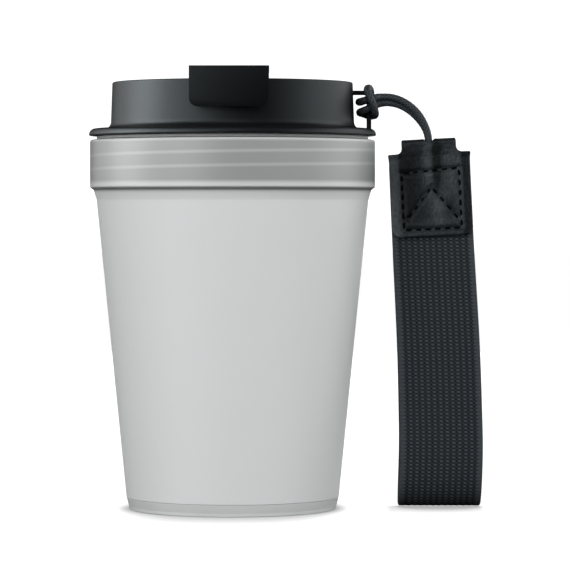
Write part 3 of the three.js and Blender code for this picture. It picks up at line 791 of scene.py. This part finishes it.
def make_flip_lever():
    plate_bottom = TAB_TOP - PLATE_THICKNESS
    tab_back = TAB_FRONT + TAB_THICKNESS
    side_view = [
        (TAB_FRONT, TAB_TOP), (TAB_FRONT, TAB_BOTTOM), (tab_back, TAB_BOTTOM),
        (tab_back, plate_bottom), (HINGE_Y, plate_bottom), (HINGE_Y, TAB_TOP),
    ]
    lever = make_object("flip_lever_tab", prism(side_view, -30, 30, 0))
    front_view = rounded([
        (-TAB_HALF, TAB_TOP + 5, 0), (-TAB_HALF, TAB_BOTTOM, TAB_CORNER),
        (TAB_HALF, TAB_BOTTOM, TAB_CORNER), (TAB_HALF, TAB_TOP + 5, 0),
    ], 10)
    combine(lever, make_object("front_view", prism(front_view, -60, 30, 1)), "INTERSECT")
    taper_end = HINGE_Y - PLATE_TAPER_END_GAP
    top_view = rounded([
        (-TAB_HALF, TAB_FRONT - 5, 0), (TAB_HALF, TAB_FRONT - 5, 0),
        (TAB_HALF, PLATE_TAPER_START, 2), (BARREL_HALF, taper_end, 2),
        (BARREL_HALF, HINGE_Y + 2, 0), (-BARREL_HALF, HINGE_Y + 2, 0),
        (-BARREL_HALF, taper_end, 2), (-TAB_HALF, PLATE_TAPER_START, 2),
    ])
    combine(lever, make_object("top_view", prism(top_view, 100, 140, 2)), "INTERSECT")
    barrel = prism(circle((HINGE_Y, HINGE_Z), BARREL_RADIUS), -BARREL_HALF, BARREL_HALF, 0)
    combine(lever, make_object("barrel", barrel), "UNION")
    bevel(lever, 0.3)
    boss_bottom = plate_bottom - BOSS_HEIGHT
    for centre_y, radius in ((SPOUT_Y, SPOUT_RADIUS - 1), (VENT_Y, VENT_RADIUS + 0.6)):
        boss = prism(circle((0, centre_y), radius), boss_bottom, plate_bottom + 0.5, 2)
        combine(lever, make_object("boss", boss), "UNION")
    cut_hole(lever, prism(circle((HINGE_Y, HINGE_Z), PIN_RADIUS + PIECE_GAP, 32), -20, 20, 0))
    lever.data.set_sharp_from_angle(angle=math.radians(20))
    finish_piece(lever, "lever", "lever", "lever", "flip_lever")


def make_plug(name, stands_for, centre_y, radius, depth):
    bottom = DECK_TOP + 0.2
    top = TAB_TOP - PLATE_THICKNESS - BOSS_HEIGHT - PIECE_GAP
    flange = radius + 1.2
    outline = rounded([
        (0, bottom - depth, 0), (radius - 0.9, bottom - depth, 0.3), (radius - 0.4, bottom, 0.1),
        (flange, bottom, 0.3), (flange, top, 0.5), (0, top, 0),
    ])
    obj = make_object(name, turned(outline, centre=(0, centre_y), steps=72))
    finish_piece(obj, "lever", "plug", "plug", stands_for)


# ---------------------------------------------------------------- leather patch
def place_patch(points):
    """From the patch's own frame (x across, z down from its fold) to the object's."""
    tilt = math.radians(-PATCH_TILT)
    x, z = points[..., 0], points[..., 2]
    turned_x = x * math.cos(tilt) + z * math.sin(tilt)
    turned_z = z * math.cos(tilt) - x * math.sin(tilt)
    return np.stack([turned_x + PATCH_TOP_X, points[..., 1], turned_z + PATCH_TOP], -1)


APEX = (0.17, STITCH_TOP - 4.6)
SEAMS = [
    ((-STITCH_HALF, STITCH_TOP - 0.3), (STITCH_HALF, STITCH_TOP + 0.7)),
    ((STITCH_HALF, STITCH_TOP + 0.7), (STITCH_HALF, STITCH_BOTTOM)),
    ((STITCH_HALF, STITCH_BOTTOM), (-STITCH_HALF, STITCH_BOTTOM)),
    ((-STITCH_HALF, STITCH_BOTTOM), (-STITCH_HALF, STITCH_TOP - 0.3)),
    (APEX, (-7.4, STITCH_BOTTOM + 3.1)),
    (APEX, (7.9, STITCH_BOTTOM + 2.4)),
]


def seam_distance(x, z):
    """Distance to the nearest line of stitches."""
    best = np.full(x.shape, 1e9)
    for (ax, az), (bx, bz) in SEAMS:
        dx, dz = bx - ax, bz - az
        t = np.clip(((x - ax) * dx + (z - az) * dz) / (dx * dx + dz * dz), 0, 1)
        best = np.minimum(best, np.hypot(x - ax - t * dx, z - az - t * dz))
    return best


def patch_half_width(z):
    """Half the patch's width at a height below its fold (z is negative)."""
    depth = -z
    neck_end = PATCH_SHOULDER
    flare = np.clip(depth - (neck_end - PATCH_FILLET), 0, PATCH_FILLET)
    neck = PATCH_NECK + PATCH_FILLET - np.sqrt(PATCH_FILLET**2 - flare**2)
    body = PATCH_HALF + 0.35 * np.exp(-np.clip(depth - neck_end, 0, 20) / 1.6)
    shoulder_round = 0.5
    near_top = np.clip(shoulder_round - (depth - neck_end), 0, shoulder_round)
    body = body - (shoulder_round - np.sqrt(shoulder_round**2 - near_top**2))
    near_bottom = np.clip(PATCH_CORNER - (PATCH_LENGTH - depth), 0, PATCH_CORNER)
    body = body - (PATCH_CORNER - np.sqrt(PATCH_CORNER**2 - near_bottom**2))
    return np.where(depth < neck_end, neck, body)


def patch_swell(x, z):
    """The leather's broad relief: hollow between the side seams, raised along its middle over the
    cord's ends and inside the V, and falling away in the margins."""
    inside = np.clip((z - STITCH_BOTTOM) / 3, 0, 1) * np.clip((-z - 1.0) / 4, 0, 1)
    hollow = 0.8 * inside * np.cos(np.clip(x / (STITCH_HALF + 1.0), -1, 1) * math.pi / 2)
    fade_up = np.clip((z + 19) / 9, 0, 1)
    ridge = 0.5 * np.exp(-(((x - 0.7) / 1.9) ** 2)) * fade_up * np.clip(-z / 2.5, 0, 1)
    lobe = 0.55 * np.exp(-(((x - 3.7) / 2.8) ** 2)) * np.exp(-(((z + 20) / 4.2) ** 2))
    margin = 0.75 * (np.clip(np.abs(x) - STITCH_HALF - 0.3, 0, 4) / 3.1) ** 1.6
    return ridge + lobe - hollow - margin


def patch_relief(x, z):
    """How far the leather stands out: its swell, less the sunk seams and the shoulders' creases."""
    groove = 0.68 * np.exp(-((seam_distance(x, z) / 0.75) ** 2))
    below_shoulder = np.exp(-(((z + PATCH_SHOULDER + 1.6) / 0.9) ** 2))
    crease = 0.3 * below_shoulder * np.clip((np.abs(x) - 7) / 3, 0, 1)
    return patch_swell(x, z) - groove - crease


def patch_painted_light(x, z):
    """Painted light on the leather, from 0 to 1: lighter on the slopes that face towards the cup,
    and darker, as painted shade, on the others."""
    slope = (patch_swell(x + 0.2, z) - patch_swell(x - 0.2, z)) / 0.4
    return np.clip(0.27 + 1.9 * slope, 0.07, 1)


def entry_dip(x, around):
    """The dip and lip in the fold where the cord goes in."""
    distance = np.hypot((x - 0.15) / 1.25, around / 2.7)
    return -1.6 * np.exp(-(distance**4)) + 0.1 * np.exp(-(((distance - 1.4) / 0.3) ** 2))


def make_leather_patch():
    across = 121
    edge_round = 0.45
    inner_radius = FOLD_OUTER - LEATHER
    rows, painted_lights = [], []
    straight = np.concatenate([
        np.linspace(PATCH_LENGTH, PATCH_LENGTH - 2.5, 18),
        np.linspace(PATCH_LENGTH - 2.7, 5.4, 96),
        np.linspace(5.2, PATCH_SHOULDER + 0.02, 8),
        np.linspace(PATCH_SHOULDER - 0.02, FOLD_RISE, 12),
    ])
    turn = np.linspace(0, math.pi, 26)
    u = np.sin(np.linspace(-math.pi / 2, math.pi / 2, across))
    u = 0.35 * u + 0.65 * np.linspace(-1, 1, across)
    inner_u = np.linspace(0.985, -0.985, 25)
    stations = [(-1, depth, None) for depth in straight]
    stations += [(None, None, angle) for angle in turn[1:-1]]
    stations += [(1, depth, None) for depth in straight[::-1]]
    for side, depth, angle in stations:
        if angle is None:
            z = -depth
            normal = np.array([0, side, 0.0])
            base = np.array([0, side * FOLD_OUTER, z])
            inner = np.array([0, side * inner_radius, z])
        else:
            out, up = -math.cos(angle), math.sin(angle)
            normal = np.array([0, out / FOLD_OUTER, up / FOLD_RISE])
            normal /= np.linalg.norm(normal)
            base = np.array([0, out * FOLD_OUTER, (up - 1) * FOLD_RISE])
            inner = np.array([0, out * inner_radius, up * 0.4 - FOLD_RISE])
            z = base[2]
        around = math.hypot(base[1], z)
        half = float(patch_half_width(np.array(z)))
        x = u * half
        gap = np.minimum(half - np.abs(x), PATCH_LENGTH + z)
        close = np.clip(edge_round - gap, 0, edge_round)
        drop = edge_round - np.sqrt(edge_round**2 - close**2)
        lift = patch_relief(x, np.full_like(x, z)) + entry_dip(x, around) - drop
        outer_row = base[None] + np.outer(x, (1, 0, 0)) + np.outer(lift, normal)
        inner_row = inner[None] + np.outer(inner_u * half, (1, 0, 0))
        rows.append(np.vstack([outer_row, inner_row]))
        # Painted light on the outer face, an even value on the inner one.
        painted_lights.append(np.append(patch_painted_light(x, np.full_like(x, z)), np.full(len(inner_row), 0.2)))
    obj = raw_object("leather_tab", loft(place_patch(np.array(rows))), np.array(painted_lights))
    finish_piece(obj, "strap", "leather", "leather", "leather_patch")


def make_stitches(name, side, stands_for):
    """A row of short sunk stitches along every seam on one face of the patch."""
    pitch, length, radius = 2.8, 2.05, 0.34
    points, faces = [], []
    for (ax, az), (bx, bz) in SEAMS:
        run = math.hypot(bx - ax, bz - az)
        direction = np.array([bx - ax, 0, bz - az]) / run
        across = np.array([-direction[2], 0, direction[0]])
        count = max(1, round((run - 0.6) / pitch))
        for i in range(count):
            middle = (i + 0.5) * run / count
            rings = []
            for t in np.linspace(-1, 1, 9):
                along = middle + t * length / 2
                spot = np.array([ax, 0, az]) + direction * along
                height = patch_relief(np.array([spot[0]]), np.array([spot[2]]))[0]
                sink = 0.1 - 0.42 * abs(t) ** 3
                spot[1] = side * (FOLD_OUTER + height + sink)
                swell = radius * math.sqrt(max(0.04, 1 - abs(t) ** 4))
                angles = np.linspace(0, 2 * math.pi, 10, endpoint=False)
                sideways = np.outer(np.cos(angles), across)
                outwards = np.outer(np.sin(angles), (0, side, 0))
                rings.append(spot + swell * (sideways + outwards))
            part_points, part_faces = loft(rings)
            start = len(points)
            points.extend(part_points)
            faces.extend([[start + index for index in face] for face in part_faces])
    obj = make_object(name, (place_patch(np.array(points)), faces), SOFT_CREASE)
    finish_piece(obj, "strap", "sewing_thread", "thread", stands_for)


# ---------------------------------------------------------------- webbing
def strap_centre(height):
    line = smooth_line(STRAP_LINE, 0.5)[0]
    return np.interp(height, line[:, 1], line[:, 0])


WEAVE_COLUMN = 1.80
WEAVE_ROW = 1.077
SELVEDGE_WIDTH = 1.7
WEAVE_DEPTH = 0.34


def weave(across, along):
    """Height, from 0 to 1, of the webbing's weave: rows of bumps with lower ones staggered
    between them, and flatter ribs along the selvedges."""
    over = 0.5 + 0.5 * np.cos(2 * math.pi * across / WEAVE_COLUMN)
    raised = 0.5 + 0.5 * np.cos(2 * math.pi * along / WEAVE_ROW)
    body = np.clip(over * raised + 0.45 * ((1 - over) * (1 - raised)) ** 1.2, 0, 1)
    selvedge = np.clip((np.abs(across) - (WEBBING_WIDTH / 2 - SELVEDGE_WIDTH)) / 0.35, 0, 1)
    ribs = 0.62 + 0.1 * np.cos(2 * math.pi * along / WEAVE_ROW)
    return body * (1 - selvedge) + ribs * selvedge


def make_webbing():
    half = WEBBING_THICKNESS / 2
    line, distance = smooth_line(WEBBING_LINE, 0.27)
    tangent = np.gradient(line, axis=0)
    tangent /= np.linalg.norm(tangent, axis=1)[:, None]
    outward = np.stack([tangent[:, 1], -tangent[:, 0]], -1)
    pressed = np.clip(line[:, None, 1] / 6, 0.25, 1)  # flatter near the bottom turn
    relief_depth = WEAVE_DEPTH * pressed
    edge = 0.55
    across = np.linspace(-WEBBING_WIDTH / 2, WEBBING_WIDTH / 2, 101)
    inner_across = np.linspace(WEBBING_WIDTH / 2 - 0.1, -WEBBING_WIDTH / 2 + 0.1, 53)
    rings, reliefs = [], []
    for face_across, face in ((across, 1), (inner_across, -1)):
        height = weave(face_across[None], distance[:, None])
        gap = WEBBING_WIDTH / 2 - np.abs(face_across)
        close = np.clip(edge - gap, 0, edge)
        drop = edge - np.sqrt(edge**2 - close**2)
        off = face * (half - drop[None] - relief_depth * (1 - height))
        y = line[:, None, 0] + off * outward[:, None, 0]
        z = line[:, None, 1] + off * outward[:, None, 1]
        rings.append(np.stack([np.broadcast_to(face_across, y.shape), y, z], -1))
        reliefs.append(height)
    points = np.concatenate(rings, 1)
    relief = np.concatenate(reliefs, 1)
    z = np.maximum(points[..., 2], 0.02)
    narrowing = 1 - 0.025 * np.clip(z / PATCH_TOP, 0, 1)
    x = strap_centre(z) + points[..., 0] * narrowing
    obj = raw_object("webbing_band", loft(np.stack([x, points[..., 1], z], -1)), relief)
    finish_piece(obj, "strap", "webbing", "webbing", "webbing_loop")


# ---------------------------------------------------------------- studio
# The floor's glow is dimmed into a painted shadow near the cup and the strap.
FLOOR_GLOW_NEAR = 0.4  # the floor's glow where the object stands, as a share of the rest
FLOOR_SHADE_REACH = 26  # how far in front of the cup the glow is back to full
FLOOR_SIDE_FADE = 6  # how much more quickly it comes back beside the cup than in front
STRAP_SHADE_REACH = 22  # how near the strap must be to dim the floor in front of it


def add_floor():
    """A floor that glows white and lights nothing. Its glow dims into a painted shadow close to the
    cup, and in front of the strap where the strap is near."""
    size = 6.0
    mesh = bpy.data.meshes.new("floor")
    corners = [(-size, -size, 0), (size, -size, 0), (size, size, 0), (-size, size, 0)]
    mesh.from_pydata(corners, [], [(0, 1, 2, 3)])
    floor = bpy.data.objects.new("floor", mesh)
    floor.visible_diffuse = False
    floor.visible_glossy = False
    bpy.context.collection.objects.link(floor)
    material, tree, shader, place = new_material("floor", 0.9)
    shader.inputs["Base Color"].default_value = grey(0.12)
    shader.inputs["Emission Color"].default_value = grey(1.0)
    axes = add_node(tree, "SeparateXYZ", {0: place})
    across, depth = axes.outputs[0], axes.outputs[1]
    flat = add_node(tree, "VectorMath", {0: place}, operation="LENGTH").outputs["Value"]
    sideways = calc(tree, "POWER", calc(tree, "ABSOLUTE", calc(tree, "DIVIDE", across, flat)), 4)
    quicker = calc(tree, "MULTIPLY_ADD", sideways, FLOOR_SIDE_FADE, 1)
    from_cup = calc(tree, "MULTIPLY", calc(tree, "SUBTRACT", flat, CONE_RADIUS * MM), quicker)
    # Painted shadow round the cup, shorter at its sides.
    cup_glow = remap(tree, from_cup, 0.0, FLOOR_SHADE_REACH * MM, FLOOR_GLOW_NEAR, 1.0)
    (left, near, _), (right, far, _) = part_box("webbing_loop")
    half = (right - left) / 2
    middle = (near + far) / 2
    beside = calc(tree, "ABSOLUTE", calc(tree, "SUBTRACT", across, (left + right) / 2))
    within = remap(tree, beside, half + 1.5 * MM, half - MM)
    in_front = remap(tree, depth, middle + MM, middle - MM)
    # Painted shadow in front of the strap, from ambient occlusion.
    occlusion = add_node(tree, "AmbientOcclusion", {"Distance": STRAP_SHADE_REACH * MM}, samples=8)
    dimmed = remap(tree, occlusion.outputs["AO"], 0.5, 1.0, 1 - FLOOR_GLOW_NEAR, 0.0)
    strap_shade = calc(tree, "MULTIPLY", calc(tree, "MULTIPLY", within, in_front), dimmed)
    glow = calc(tree, "MINIMUM", cup_glow, calc(tree, "SUBTRACT", 1.0, strap_shade))
    tree.links.new(glow, shader.inputs["Emission Strength"])
    mesh.materials.append(material)


def aim_at(obj, place, aim):
    """Puts an object in the scene at a place, with its -Z axis towards a point."""
    obj.location = place
    direction = np.array(aim, float) - np.array(place, float)
    flat = math.hypot(direction[0], direction[1])
    bearing = math.atan2(direction[1], direction[0]) - math.pi / 2
    obj.rotation_euler = (math.atan2(flat, -direction[2]), 0, bearing)
    bpy.context.collection.objects.link(obj)


PANEL_SIZE = (0.62, 0.9)


def add_panel(name, bearing, soft_power, gloss_power, level=0.35):
    """A softbox a metre away, its bearing in degrees from the front towards the right. It is made
    of two lights: one lights matt surfaces and the other is seen in gloss."""
    turn = math.radians(bearing)
    for kind, power in (("soft", soft_power), ("gloss", gloss_power)):
        if not power:
            continue
        data = bpy.data.lights.new(f"{name}_{kind}", "AREA")
        data.shape = "RECTANGLE"
        data.size, data.size_y = PANEL_SIZE
        data.energy = power
        light = bpy.data.objects.new(f"{name}_{kind}", data)
        light.visible_diffuse = kind == "soft"
        light.visible_glossy = kind == "gloss"
        reach = 1.0 if kind == "soft" else 0.97  # apart, so that each is met on its own
        aim_at(light, (reach * math.sin(turn), -reach * math.cos(turn), level), (0, 0, 0.09))


def add_world():
    """White to the camera, and black as a light."""
    world = bpy.data.worlds.new("studio")
    bpy.context.scene.world = world
    world.use_nodes = True
    tree = world.node_tree
    background = tree.nodes["Background"]
    background.inputs["Color"].default_value = grey(1.0)
    seen = add_node(tree, "LightPath").outputs["Is Camera Ray"]
    tree.links.new(calc(tree, "MULTIPLY", seen, 1.2), background.inputs["Strength"])


make_base_cap()
make_outer_shell()
make_inner_cup()
make_gasket()
make_lid_body()
make_hinge_pin()
make_flip_lever()
make_plug("spout_seal", "spout_plug", SPOUT_Y, SPOUT_RADIUS, 2.6)
make_plug("vent_seal", "vent_plug", VENT_Y, VENT_RADIUS, 1.4)
make_leather_patch()
make_stitches("front_stitches", -1, "needle_thread")
make_stitches("back_stitches", 1, "bobbin_thread")
make_webbing()

for knot_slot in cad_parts["cord_end_knot"].material_slots:
    knot_slot.material = MATERIALS["cord"]

bpy.context.scene.view_settings.view_transform = "Standard"
add_floor()
# Bearing, soft power and gloss power of each softbox.
for bearing, soft_power, gloss_power in (
    (-125, 0, 1.6), (-90, 2.3, 8.1), (-62, 0, 2.4), (-35, 9.9, 2.0),
    (35, 5.4, 0), (62, 0, 0.6), (90, 6.0, 2.0), (125, 10.2, 2.0),
):
    add_panel(f"panel_{bearing}", bearing, soft_power, gloss_power)
add_panel("front", 0, 2.7, 0.8, level=0.9)
add_panel("back", 180, 8.0, 0)
add_world()
